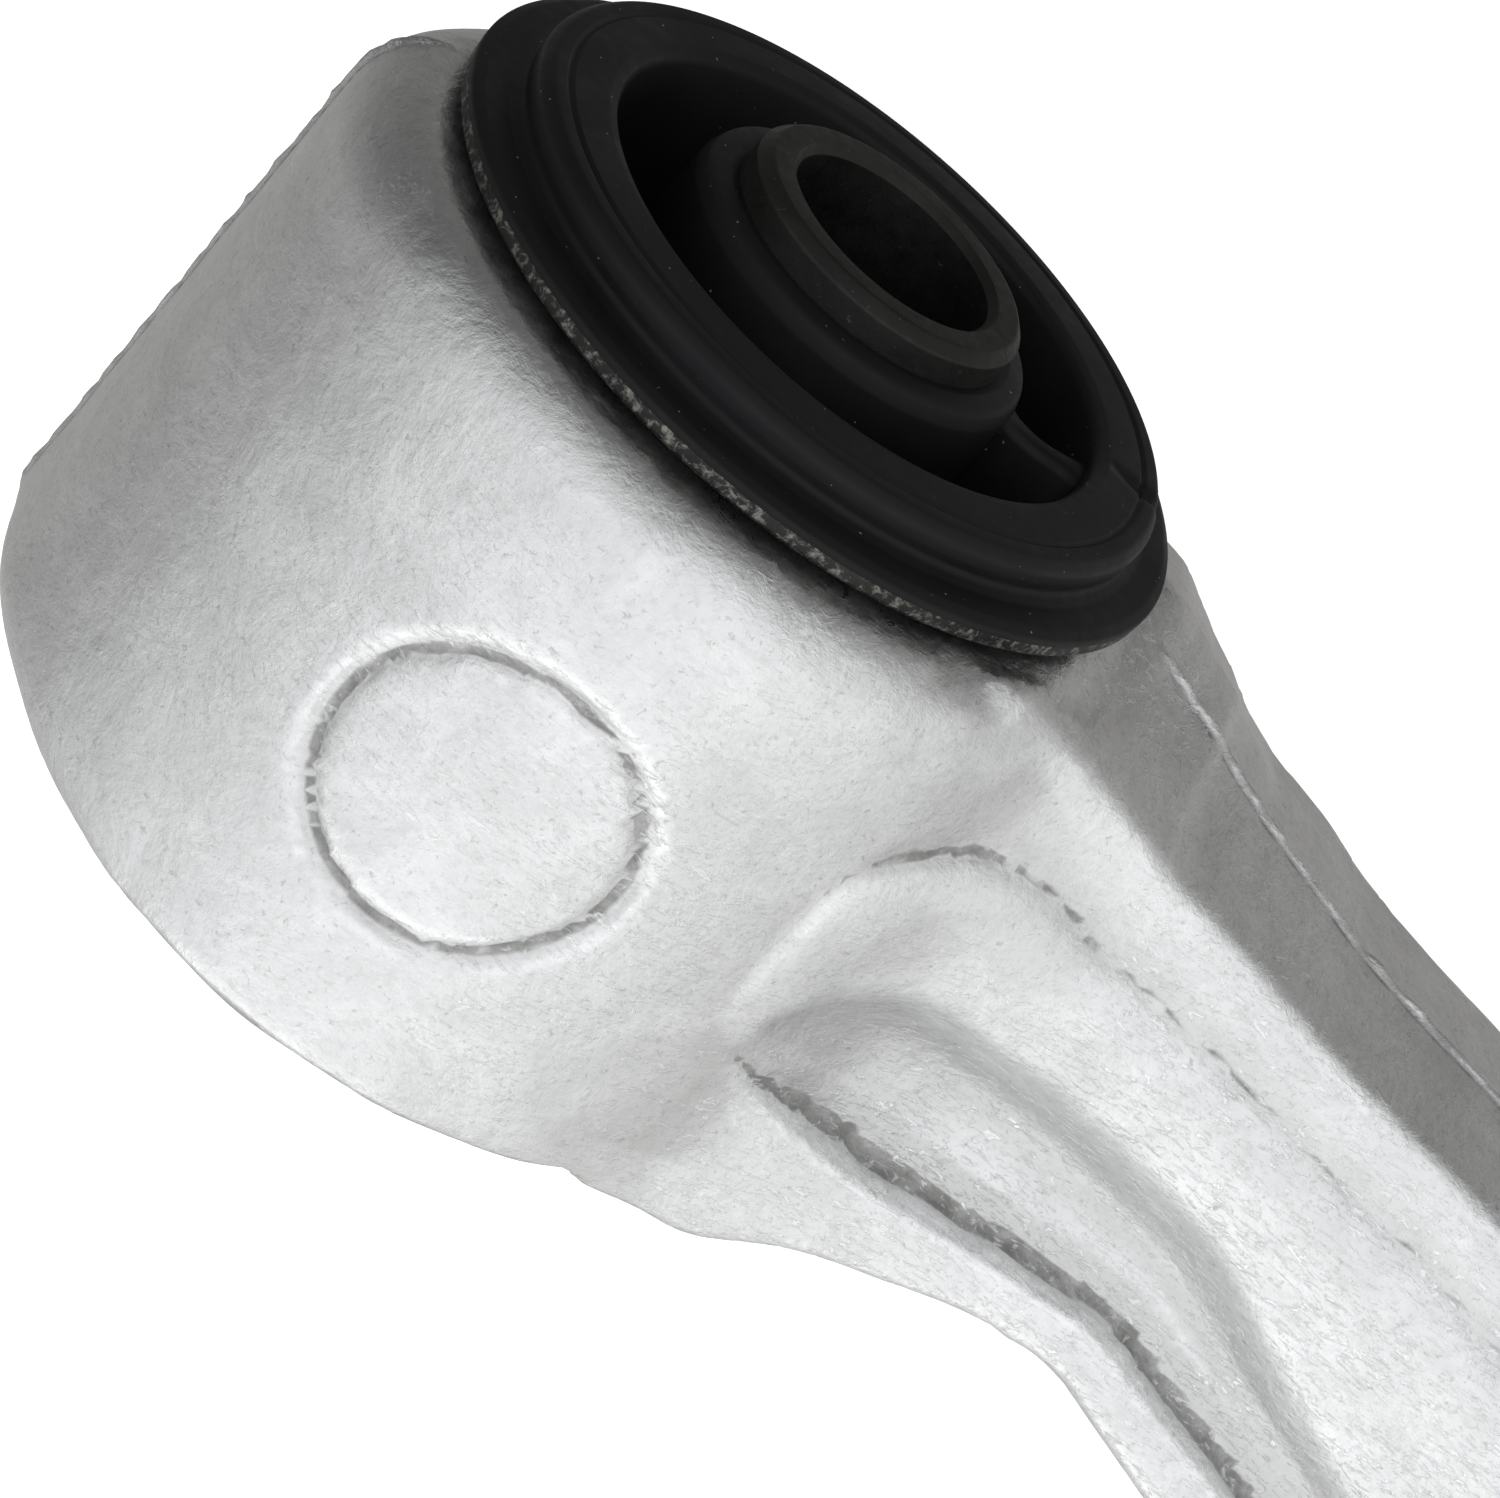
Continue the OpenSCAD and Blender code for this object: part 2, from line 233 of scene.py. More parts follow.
def spaced(*stops):
    """Grid lines: from stop to stop at the spacing given after each stop."""
    out = []
    for a, gap, b in zip(stops[0::2], stops[1::2], stops[2::2]):
        out.append(np.arange(a, b - gap * 0.4, gap))
    return np.concatenate(out + [[stops[-1]]])


# ---------------------------------------------------------------- the forging
def bow(u):
    """Middle line and half width of the arm's long bow, from 0 at its start to 1 at the ball joint."""
    x0, y0 = BOSS_R + 50, -9
    return (x0 + (JX - x0) * u, y0 + (JY - y0) * u - 80 * u * (1 - u),
            17 + (RING_R * 0.72 - 17) * u ** 6)


# middle line of the arm: x, y and half width
STATIONS = np.array(
    [(BOSS_R - 14, 0, 20.6), (BOSS_R - 6, -0.8, 21), (BOSS_R + 2.7, -2.6, 19.8),
     (BOSS_R + 9, -2.7, 18.45), (BOSS_R + 16, -2.5, 16.8), (BOSS_R + 24, -2.7, 15.5),
     (BOSS_R + 33, -4.3, 16.1)] + [bow(n / 8) for n in range(9)])


def spline_table(p, n=8):
    """Points of a smooth curve through the rows of p."""
    out = []
    for i in range(len(p) - 1):
        a, b, c, d = (p[min(len(p) - 1, max(0, k))] for k in (i - 1, i, i + 1, i + 2))
        for t in np.arange(n) / n:
            out.append(0.5 * (2 * b + (c - a) * t + (2 * a - 5 * b + 4 * c - d) * t * t
                              + (3 * b - a - 3 * c + d) * t ** 3))
    return np.array(out + [p[-1]])


PATH = spline_table(STATIONS)
SLOPE = np.gradient(PATH[:, 1], PATH[:, 0])


def arm_place(x, y):
    """Distance to the left of the arm's middle line, and half the arm's width there."""
    c = x + 0 * y
    for _ in range(4):
        s = np.interp(c, PATH[:, 0], SLOPE)
        t = 1 / np.sqrt(1 + s * s)
        dx, dy = x - c, y - np.interp(c, PATH[:, 0], PATH[:, 1])
        c = c + (dx + dy * s) * t * t
    s = np.interp(c, PATH[:, 0], SLOPE)
    t = 1 / np.sqrt(1 + s * s)
    dx, dy = x - c, y - np.interp(c, PATH[:, 0], PATH[:, 1])
    return (dy - dx * s) * t, np.interp(c, PATH[:, 0], PATH[:, 2])


def land_z(x):
    """Height of the lands above the parting plane: high at the boss, a little raised at the ring."""
    junction_x, junction_z = BOSS_R * 0.71, BOSS_R * 0.66
    near = (junction_z - LAND_TOP) * np.exp(-np.maximum(0, x - junction_x) / 14)
    far = (RING_HALF - LAND_TOP) * np.exp(-np.maximum(0, JX - RING_R + 4 - x) / 12)
    return np.minimum(junction_z, LAND_TOP + near + far)


def along(x, stops, values):
    """Value read along the arm between stops, with the corners smoothed."""
    return (np.interp(x - 1.2, stops, values) + 2 * np.interp(x, stops, values)
            + np.interp(x + 1.2, stops, values)) / 4


# at stops along the arm: widths of the lands and place of the pocket's crest, from the arm's sides at the
# parting plane, and depth of the pocket
LAND_PLUS = ((18, 20, 23, 25.6, 29, 34, 38.4, 44, 51, 60, 80),
             (15, 14, 11.4, 9.5, 8.4, 7.8, 7.3, 6.7, 6.5, 6.4, 6.2))
LAND_MINUS = ((22, 23.6, 26.4, 30, 33, 36, 40.5, 46, 51, 59, 66, 80),
              (13.5, 12.2, 10.3, 9.2, 8.7, 7.7, 6.8, 5.7, 5.0, 5.0, 5.5, 5.8))
CREST = ((22.5, 24, 26.2, 30, 34, 38, 44.5, 51, 58.6, 65, 71, 100),
         (11.5, 16, 19.3, 21.3, 21.4, 20.1, 17.9, 15.6, 14.0, 13.0, 12.4, 10.7))
DEPTH = ((23, 27, 31, 36, 46, 60, 92, 108), (0, 1.2, 2.6, 3.0, 2.5, 2.3, 2.2, 0))


def arm_top(x, v, w):
    """Height of the arm's upper surface above the parting plane."""
    h = land_z(x)
    left, right = w - v, w + v
    plus, minus = along(x, *LAND_PLUS), along(x, *LAND_MINUS)
    # crown: rises from the +Y land, level for a little, then leans towards the pocket
    crown = (0.95 + 1.1 * np.exp(-np.maximum(0, x - 25) / 7)) * step(17.5, 22.5, x) * (1 - step(88, 112, x))
    q = np.maximum(left - plus, 0)
    lean = 0.13 * (np.sqrt(np.maximum(q - 2.5, 0) ** 2 + 1) - 1) * (1 - step(80, 112, x))
    top = h + (crown * (1 - np.exp(-q / 1.1)) - lean) * step(-0.5, 2.5, right - minus)
    # pocket beside the -Y land, with a faint flow line along its floor
    sink = 0.17 * np.maximum(right - minus - 0.8, 0) * step(25, 42, x) * (1 - step(92, 108, x))
    floor = h - along(x, *DEPTH) - sink
    line = minus + 0.42 * (along(x, *CREST) - minus) - 0.3
    floor = floor + 0.13 * np.exp(-((right - line) / 0.45) ** 2) * step(29, 36, x) * (1 - step(60, 90, x))
    wall_minus = h - 0.1 + 4.2 * (minus - right)
    wall_crest = h + 1.0 + 1.6 * (right - along(x, *CREST))
    pocket = soft_max(soft_max(floor, wall_minus, 0.7), wall_crest, 4.6)
    top = soft_min(top, pocket, 0.5 + 4.0 * step(1, 5, right - minus))
    # web between the lands along the middle
    web = soft_max(soft_max(h - 4.2, h + 1.7 * (LAND_W - left), 1.6), h + 1.7 * (LAND_W - right), 1.6)
    web = soft_max(web, h + 0.9 * (122 - x), 2.5)
    web = soft_max(web, h + 0.9 * (x - (JX - RING_R - 2)), 2.5)
    return soft_min(top, web, 0.9), step(0, 6, left - plus) * step(-2, 4, right - minus)


# how far the +Y side stands out from the middle line's even width, above and below the parting plane
SIDE_UPPER = ((22, 24, 26, 28, 30, 32, 34, 36, 38, 42, 46, 50),
              (0, -0.3, -0.7, -0.9, -1.0, -0.9, -0.6, 0.2, 0.2, 0.4, 0.2, 0))
SIDE_LOWER = ((24, 26, 28, 30, 32, 34, 36, 38, 40, 42, 44, 50),
              (0, 0.1, 0.2, -0.2, -0.25, 0.2, 1.2, 1.0, 0.7, 0.7, 0.5, 0))


def forging(x, y, z):
    """Signed distance, roughly, from the surface of the forging: below 0 inside."""
    up = np.abs(z)
    r = np.hypot(x, z)
    rough = waves(x, y, z, 0.55, 1.0)
    # parting line: a thin proud ridge, ragged and not quite straight
    ragged = waves(x, y, 0 * z, 1.9, 0.4)
    flash = np.exp(-((z - 0.15 * waves(x, y, 0 * z, 0.3, 4.0)) / 0.3) ** 2) * (0.36 + 0.16 * ragged)
    v, w = arm_place(x, y)
    draft = 0.085 * up * step(23, 42, x)
    ear = ((2.6 - 2.2 * step(29, 38, x) - 0.4 * step(38, 48, x)) * step(17, 24, x)
           + 0.35 * step(49, 50.6, x) * (1 - step(60, 90, x)))
    shoulder = 1.2 * (1 - step(18, 25, x))
    trim = 0.085 * up * step(26, 42, x) + 0.16 * np.maximum(-z, 0)
    flare = 1.1 * np.exp(-((x - 30) / 6) ** 2) * step(6, -6, z)
    upper = np.interp(x, *SIDE_UPPER)
    swell = upper + (np.interp(x, *SIDE_LOWER) - upper) * step(9, -6, z)
    swell = swell - 0.2 * np.maximum(-z - 6, 0) * step(20, 25, x) * (1 - step(36, 46, x))
    wall_plus = v - (w + shoulder + flare + swell - draft) - flash * step(27.5, 29.5, x)
    wall_minus = -v - (w + ear - draft) - flash
    top, crowned = arm_top(x, v, w)
    arm = smax(smax(wall_plus, wall_minus, 1.0), up - top + 0.04 * rough, 1.3)
    arm = np.maximum(arm, np.maximum(14 - x, x - JX))
    # boss, a little wider on its free side, where the parting line lies higher
    ridge = np.exp(-((z - 2.6 - 0.2 * ragged) / 0.34) ** 2) * (0.42 + 0.2 * ragged) * (x < -20)
    side = r - BOSS_R - (0.9 - np.clip((y + 24) / 41, 0, 1)) * step(-8, -28, x)
    rho = np.hypot(x - MARK_X, y - MARK_Y)
    worn = rho + 0.14 * waves(x, y, z, 1.7, 3.1)
    mark = (0.72 * (1 - step(9.5, 10.9, rho)) - 0.46 * (1 - step(8.6, 9.4, worn))) * (z > 0)
    side = side + mark + 0.06 * rough - ridge
    boss = smax(side, y - 21.1, 4.2 + 1.4 * step(-18, -28, x) + 4.0 * step(3, -10, z) * step(-8, -22, x))
    far_end = -y - 22.3 + 0.15 * waves(x, y, z, 0.5, 2.3)
    boss = smax(boss, far_end, 1.2 + 2.6 * step(-8, -24, x) * step(0, 8, z))
    boss = smax(boss, np.where(x > 16, v - (w + shoulder - trim - 1.4 * step(22, 28, x)), -9), 2.5)
    body = smin(arm, boss, 1.3 + 1.6 * crowned * step(19, 24, x))
    # ring that holds the ball joint
    ring_rho = np.hypot(x - JX, y - JY)
    ring = smax(ring_rho - RING_R - flash, up - RING_HALF, 2.0)
    body = smin(body, ring, 5.0)
    # machined faces and bores
    ragged_r = r + 0.25 * waves(x, y, z, 0.8, 5.0)
    body = np.maximum(body, -np.maximum(BOSS_HALF - 0.25 - y, ragged_r - 27.3))
    body = np.maximum(body, -np.maximum(y + 21.6, ragged_r - 28.8))
    body = np.maximum(body, -np.maximum(RING_HALF - up, ring_rho - 27.5))
    body = np.maximum(body, SLEEVE_R + np.maximum(0, np.abs(y) - 20.4) - r)
    return np.maximum(body, HOUSING_R + np.maximum(0, up - 12.3) - ring_rho)


# ---------------------------------------------------------------- turned shapes
def filleted(points, per=6):
    """Closed outline from (radius, height, fillet) corners."""
    out = []
    count = len(points)
    for i, (r, h, f) in enumerate(points):
        p = np.array((r, h), float)
        a = np.array(points[i - 1][:2], float) - p
        b = np.array(points[(i + 1) % count][:2], float) - p
        la, lb = np.hypot(*a), np.hypot(*b)
        a, b = a / la, b / lb
        angle = math.acos(max(-1, min(1, float(a @ b))))
        if f <= 0 or abs(math.pi - angle) < 0.02:
            out.append(p)
            continue
        cut = min(f / math.tan(angle / 2), 0.48 * la, 0.48 * lb)
        f = cut * math.tan(angle / 2)
        middle = (a + b) / np.hypot(*(a + b))
        centre = p + middle * (f / math.sin(angle / 2))
        start, end = p + a * cut - centre, p + b * cut - centre
        t0, t1 = math.atan2(start[1], start[0]), math.atan2(end[1], end[0])
        turn = (t1 - t0 + math.pi) % (2 * math.pi) - math.pi
        steps = max(2, int(per * abs(turn) / 1.2) + 1)
        for k in range(steps + 1):
            t = t0 + turn * k / steps
            out.append(centre + f * np.array((math.cos(t), math.sin(t))))
    return np.array(out)


def turned(name, points, axis="y", centre=(0, 0, 0), n=144, warp=None):
    """Ring with an outline of (radius, height, fillet) corners, turned about an axis. warp moves its points."""
    outline = filleted(points)
    m = len(outline)
    a = np.linspace(0, 2 * np.pi, n, endpoint=False)
    r, h = outline[:, 0][None, :], outline[:, 1][None, :]
    u, v = r * np.cos(a)[:, None], r * np.sin(a)[:, None]
    w = h + 0 * u
    xyz = np.stack((u, w, v) if axis == "y" else (u, v, w), -1).reshape(-1, 3)
    if warp:
        xyz = warp(xyz)
    xyz = xyz + np.array(centre)
    i, j = np.meshgrid(np.arange(n), np.arange(m), indexing="ij")
    i2, j2 = (i + 1) % n, (j + 1) % m
    quads = np.stack([i * m + j, i2 * m + j, i2 * m + j2, i * m + j2], -1).reshape(-1, 4)
    twice_area = np.sum(outline[:, 0] * np.roll(outline[:, 1], -1)
                        - np.roll(outline[:, 0], -1) * outline[:, 1])
    if (twice_area > 0) != (axis == "z"):
        quads = quads[:, ::-1]
    obj = mesh_object(name, xyz, np.ascontiguousarray(quads))
    if outline[:, 0].min() < 1e-6:
        weld(obj)
    sharp(obj)
    return obj


def weld(obj):
    """Merge points that lie on each other and drop the faces that vanish."""
    bm = bmesh.new()
    bm.from_mesh(obj.data)
    bmesh.ops.remove_doubles(bm, verts=bm.verts, dist=2e-6)
    bmesh.ops.recalc_face_normals(bm, faces=bm.faces)
    for face in bm.faces:
        face.smooth = True
    bm.to_mesh(obj.data)
    bm.free()


def sharp(obj, angle=32):
    """Shade smoothly except across edges sharper than angle, in degrees."""
    obj.data.set_sharp_from_angle(angle=math.radians(angle))


def coil(name, inner, wire, turns, height, centre, n=96, section=10):
    """Wire wound round the Z axis, with its turns lying on each other."""
    t = np.linspace(0, turns, int(n * turns))
    a = 2 * np.pi * t + 0.6
    r = inner + wire / 2
    spin = np.linspace(0, 2 * np.pi, section, endpoint=False)
    rr = r + wire / 2 * np.cos(spin)[None, :]
    zz = height + (t[:, None] - turns / 2) * wire * 1.03 + wire / 2 * np.sin(spin)[None, :]
    across, along_y = centre[0] + rr * np.cos(a)[:, None], centre[1] + rr * np.sin(a)[:, None]
    points = np.stack((across, along_y, zz), -1).reshape(-1, 3)
    i, j = np.meshgrid(np.arange(len(t) - 1), np.arange(section), indexing="ij")
    j2 = (j + 1) % section
    here, after = i * section, (i + 1) * section
    quads = np.stack([here + j, after + j, after + j2, here + j2], -1)
    faces = [tuple(int(v) for v in q) for q in quads.reshape(-1, 4)]
    faces += [tuple(range(section)), tuple(range(len(points) - section, len(points)))[::-1]]
    obj = mesh_object(name, points, faces)
    weld(obj)
    sharp(obj, 50)
    return obj


def thread(name, radius, core, pitch, low, high, socket, depth, centre, n=72):
    """Helical thread with chamfered ends and a hexagon socket in its top end."""
    # part of a turn, and height there between the core at 0 and the crest at 1
    profile = ((0.0, 1), (0.0625, 1), (0.10, 0.93), (0.34, 0.07), (0.375, 0), (0.5, -0.04), (0.625, 0),
               (0.66, 0.07), (0.90, 0.93), (0.9375, 1))
    per = len(profile)
    turns = int((high - low) / pitch) + 3
    phase = np.array([k - 1 + p for k in range(turns) for p, _ in profile])
    bulge = np.array([b for k in range(turns) for _, b in profile])
    a = 2 * np.pi * np.arange(n) / n
    z = np.clip(low + (phase[None, :] + (a / (2 * np.pi))[:, None]) * pitch, low, high)
    r = core + (radius - core) * bulge[None, :]
    r = np.minimum(r, np.minimum(core + (z - low) * 1.1, core + 0.15 + (high - z) * 0.9))
    r = np.where(z <= low + 1e-9, core, np.where(z >= high - 1e-9, core + 0.15, r))
    hexagon = socket / np.cos((a + np.pi / 6) % (np.pi / 3) - np.pi / 6)
    rows = [(0 * a, 0 * a + low)] + [(r[:, j], z[:, j]) for j in range(len(phase))]
    for grow, at in ((1.22, high), (1.0, high - 0.5), (1.0, high - depth)):
        rows.append((hexagon * grow if grow < 1.1 else 0 * a + socket * grow, 0 * a + at))
    rows.append((0 * a, 0 * a + high - depth - 1.2))
    m = len(rows)
    points = np.stack([np.stack((centre[0] + rr * np.cos(a), centre[1] + rr * np.sin(a), zz), -1)
                       for rr, zz in rows], 1)
    faces = []
    for i in range(n):
        for j in range(m - 1):
            if i < n - 1:
                faces.append((i * m + j, (i + 1) * m + j, (i + 1) * m + j + 1, i * m + j + 1))
                continue
            wound = 1 <= j < len(phase)
            here = min(j + per, len(phase)) if wound else j
            there = min(j + 1 + per, len(phase)) if wound else j + 1
            faces.append((i * m + j, here, there, i * m + j + 1))
    obj = mesh_object(name, points.reshape(-1, 3), faces)
    weld(obj)
    sharp(obj, 24)
    return obj


def plate(name, outline, holes, low, high, edge=0.12):
    """Flat plate cut to an outline with holes in it."""
    loops = [outline] + holes
    flat = [Vector((x, y, 0)) for loop in loops for x, y in loop]
    triangles = tessellate_polygon([[Vector((x, y, 0)) for x, y in loop] for loop in loops])
    m = len(flat)
    points = [(v.x, v.y, low) for v in flat] + [(v.x, v.y, high) for v in flat]
    faces = []
    for a, b, c in triangles:
        faces += [(a, b, c), (a + m, c + m, b + m)]
    start = 0
    for loop in loops:
        k = len(loop)
        for i in range(k):
            here, after = start + i, start + (i + 1) % k
            faces.append((here, after, after + m, here + m))
        start += k
    obj = mesh_object(name, points, faces)
    weld(obj)
    sharp(obj, 30)
    bevel = obj.modifiers.new("edge", "BEVEL")
    bevel.width, bevel.segments, bevel.limit_method = edge * MM, 2, "ANGLE"
    bevel.angle_limit = math.radians(40)
    return obj


# ---------------------------------------------------------------- materials
class Nodes:
    """Small helper for writing a node tree."""

    def __init__(self, name):
        self.mat = bpy.data.materials.new(name)
        self.mat.use_nodes = True
        self.tree = self.mat.node_tree
        self.tree.nodes.clear()
        self.out = self.add("ShaderNodeOutputMaterial")
        self.bsdf = self.add("ShaderNodeBsdfPrincipled")
        self.tree.links.new(self.bsdf.outputs[0], self.out.inputs[0])
        self.coord = self.add("ShaderNodeTexCoord").outputs["Object"]

    def add(self, kind, inputs=None, **props):
        """New node; an input is a constant or another node's socket."""
        node = self.tree.nodes.new(kind)
        for key, value in props.items():
            setattr(node, key, value)
        for key, value in (inputs or {}).items():
            if isinstance(value, bpy.types.NodeSocket):
                self.tree.links.new(value, node.inputs[key])
            else:
                node.inputs[key].default_value = value
        return node

    def noise(self, scale, detail=4, rough=0.55, where=None, distortion=0.0):
        """Noise in object coordinates, or in the coordinates given as where."""
        return self.add("ShaderNodeTexNoise", {
            "Vector": where or self.coord, "Scale": scale, "Detail": detail, "Roughness": rough,
            "Distortion": distortion}).outputs["Fac"]

    def stretched(self, scale, rotation=(0, 0, 0)):
        """Object coordinates scaled by a different factor along each axis."""
        return self.add("ShaderNodeMapping", {
            "Vector": self.coord, "Rotation": rotation, "Scale": scale}).outputs[0]

    def cover(self, value, low, high, top=1.0):
        """0 below low, rising to top at high."""
        return self.ramp(value, (low, 0.0), (high, top))

    def ramp(self, value, low, high):
        """Grey between two stops, each given as position and brightness."""
        node = self.add("ShaderNodeValToRGB", {"Fac": value})
        for element, (at, grey) in zip(node.color_ramp.elements, (low, high)):
            element.position = at
            element.color = (grey, grey, grey, 1)
        return node.outputs["Color"]

    def mix(self, factor, a, b):
        """Colour a where factor is 0 and b where it is 1."""
        node = self.add("ShaderNodeMix", data_type="RGBA")
        for socket, value in ((node.inputs[0], factor), (node.inputs[6], a), (node.inputs[7], b)):
            if isinstance(value, bpy.types.NodeSocket):
                self.tree.links.new(value, socket)
            else:
                socket.default_value = (*value, 1) if isinstance(value, tuple) else value
        return node.outputs[2]

    def math(self, op, a, b=0.0):
        return self.add("ShaderNodeMath", {0: a, 1: b}, operation=op).outputs[0]

    def bump(self, height, strength, distance, normal=None):
        """Bump, laid over another one if its normal is given."""
        inputs = {"Height": height, "Strength": strength, "Distance": distance}
        if normal:
            inputs["Normal"] = normal
        return self.add("ShaderNodeBump", inputs).outputs[0]

    def finish(self, **values):
        """Set the shader's inputs and return the material."""
        for key, value in values.items():
            key = key.replace("_", " ")
            if isinstance(value, bpy.types.NodeSocket):
                self.tree.links.new(value, self.bsdf.inputs[key])
            else:
                self.bsdf.inputs[key].default_value = (*value, 1) if isinstance(value, tuple) else value
        return self.mat


def forged_aluminium():
    """Blasted forging: mottled satin, scuffed bright in patches and on edges, darker in the creases from dirt
    and painted shade, and greyer in broad hollows from painted shade.
    """
    n = Nodes("forged_aluminium")
    relief = n.add("ShaderNodeAttribute", attribute_name="relief").outputs["Fac"]
    cloud = n.noise(38, 4, 0.6)
    blotch = n.noise(160, 5, 0.62, distortion=0.6)
    grain = n.noise(420, 6, 0.72, distortion=0.4)
    fine = n.noise(1300, 5, 0.7)
    speck = n.noise(2300, 3, 0.6, distortion=0.8)
    scuffs = n.noise(520, 5, 0.7, n.stretched((1.0, 3.2, 1.0), (0.5, 0.2, 0.7)), 1.6)
    patchy = n.cover(cloud, 0.40, 0.58)
    bright = n.math("MULTIPLY", n.cover(scuffs, 0.54, 0.62), patchy)
    proud = n.math("MULTIPLY", n.cover(relief, 0.25, 0.9), n.cover(grain, 0.40, 0.58))
    # dirt and painted shade: creases are darkened and made rougher where the surface is hollow at a small scale
    hollow = n.math("MULTIPLY", n.ramp(n.math("MULTIPLY", relief, -0.8), (0.55, 0.0), (1.0, 1.0)),
                    n.ramp(grain, (0.30, 0.35), (0.60, 1.0)))
    # painted shade: broad hollows such as the pocket floor turn greyer, standing in for the shade that falls in
    # them
    basin = n.add("ShaderNodeAttribute", attribute_name="basin").outputs["Fac"]
    painted_basin_shade = n.math("MULTIPLY", n.ramp(n.math("MULTIPLY", basin, -1.0), (0.02, 0.0), (0.22, 1.0)),
                  n.ramp(blotch, (0.30, 0.5), (0.60, 1.0)))
    flecks = n.math("MAXIMUM", bright, proud)
    colour = n.mix(n.cover(blotch, 0.38, 0.66), (0.80, 0.803, 0.806), (0.90, 0.903, 0.907))
    colour = n.mix(n.cover(fine, 0.50, 0.72, 0.45), colour, (0.62, 0.62, 0.615))
    colour = n.mix(n.cover(speck, 0.60, 0.72, 0.6), colour, (0.46, 0.455, 0.44))
    # painted shade in broad hollows
    colour = n.mix(n.math("MULTIPLY", painted_basin_shade, 0.42), colour, (0.45, 0.445, 0.43))
    # dirt and painted shade darken the creases
    colour = n.mix(n.math("MULTIPLY", hollow, 0.72), colour, (0.20, 0.195, 0.185))
    colour = n.mix(n.math("MULTIPLY", flecks, 0.7), colour, (0.965, 0.97, 0.975))
    rough = n.mix(flecks, n.ramp(grain, (0.3, 0.30), (0.7, 0.44)), (0.20, 0.20, 0.20))
    rough = n.mix(hollow, rough, (0.6, 0.6, 0.6))
    bump = n.bump(blotch, 0.32, 0.0007)
    bump = n.bump(grain, 0.42, 0.0003, bump)
    bump = n.bump(bright, 0.40, 0.00010, bump)
    bump = n.bump(speck, 0.35, -0.00005, bump)
    bump = n.bump(fine, 0.30, 0.0001, bump)
    return n.finish(Base_Color=colour, Metallic=1.0, Roughness=rough, Normal=bump)


def rubber(name, base=(0.006, 0.006, 0.007), scale=900):
    """Dull black rubber with a fine grain and a little dust."""
    n = Nodes(name)
    soft = n.noise(70, 4, 0.6)
    grain = n.noise(scale, 4, 0.6)
    dust = n.noise(2400, 2, 0.5)
    colour = n.mix(n.cover(soft, 0.35, 0.7), base, tuple(c * 1.8 for c in base))
    colour = n.mix(n.cover(dust, 0.752, 0.772, 0.75), colour, (0.35, 0.35, 0.34))
    rough = n.mix(n.cover(soft, 0.4, 0.65), n.ramp(grain, (0.3, 0.44), (0.7, 0.56)), (0.66, 0.66, 0.66))
    bump = n.bump(soft, 0.10, 0.0004)
    return n.finish(Base_Color=colour, Roughness=rough, Specular_IOR_Level=0.28,
                    Normal=n.bump(grain, 0.22, 0.00005, bump))


def phosphated_steel():
    """Dark coated steel, worn to bare metal in flecks along its outer edge."""
    n = Nodes("phosphated_steel")
    cloud = n.noise(90, 4, 0.6)
    speck = n.noise(1700, 4, 0.7, distortion=0.5)
    grain = n.noise(900, 5, 0.65)
    split = n.add("ShaderNodeSeparateXYZ", {0: n.coord}).outputs
    squares = [n.math("MULTIPLY", axis, axis) for axis in (split[0], split[2])]
    radius = n.math("SQRT", n.math("ADD", *squares))
    # 0 inside a radius of 25.4 mm, near the flange's edge, and 1 from 0.24 mm further out
    rim = n.cover(n.math("MULTIPLY", n.math("SUBTRACT", radius, 0.0254), 2500.0), 0.0, 0.6)
    worn = n.math("MULTIPLY", n.cover(speck, 0.50, 0.66), rim)
    worn = n.math("MAXIMUM", worn, n.cover(speck, 0.66, 0.73, 0.5))
    colour = n.mix(n.cover(cloud, 0.35, 0.7), (0.030, 0.030, 0.029), (0.055, 0.055, 0.052))
    colour = n.mix(worn, colour, (0.30, 0.295, 0.27))
    return n.finish(Base_Color=colour, Metallic=0.85, Roughness=n.ramp(grain, (0.3, 0.40), (0.7, 0.60)),
                    Normal=n.bump(grain, 0.4, 0.00008))


def lathed_steel(name, dark, light, low, high, lines=0.35, metallic=1.0, stain=(0.30, 0.22, 0.15)):
    """Turned steel: fine tool lines round the axis, cloudy plating and small stains."""
    n = Nodes(name)
    rings = n.noise(60, 3, 0.6, n.stretched((1.0, 1.0, 90.0)))
    cloud = n.noise(110, 5, 0.6, distortion=0.4)
    fine = n.noise(1500, 5, 0.65)
    spot = n.noise(330, 3, 0.55)
    colour = n.mix(n.cover(cloud, 0.34, 0.68), dark, light)
    colour = n.mix(n.cover(rings, 0.40, 0.62, 0.35), colour, tuple(c * 1.25 for c in light))
    colour = n.mix(n.cover(spot, 0.70, 0.76, 0.35), colour, stain)
    rough = n.mix(n.cover(spot, 0.60, 0.74, 0.6), n.ramp(fine, (0.3, low), (0.7, high)), (0.75, 0.75, 0.75))
    bump = n.bump(rings, lines, 0.00006)
    return n.finish(Base_Color=colour, Metallic=metallic, Roughness=rough,
                    Normal=n.bump(fine, 0.25, 0.00005, bump))


def moulded_plastic(name, dark, light):
    """Cloudy moulded plastic, a little see-through."""
    n = Nodes(name)
    cloud = n.noise(140, 4, 0.55)
    grain = n.noise(1900, 4, 0.6)
    colour = n.mix(n.cover(cloud, 0.3, 0.7), dark, light)
    return n.finish(Base_Color=colour, Roughness=n.ramp(grain, (0.3, 0.42), (0.7, 0.56)),
                    Subsurface_Weight=0.08, Normal=n.bump(grain, 0.25, 0.00004))


# ---------------------------------------------------------------- pieces
def piece(obj, body, slot, material, *replaced):
    """Give a piece its material and body, and hide the CAD nodes it stands in for; slot is not used."""
    obj.data.materials.append(material)
    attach(obj, body)
    if replaced:
        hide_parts(*replaced)
    return obj


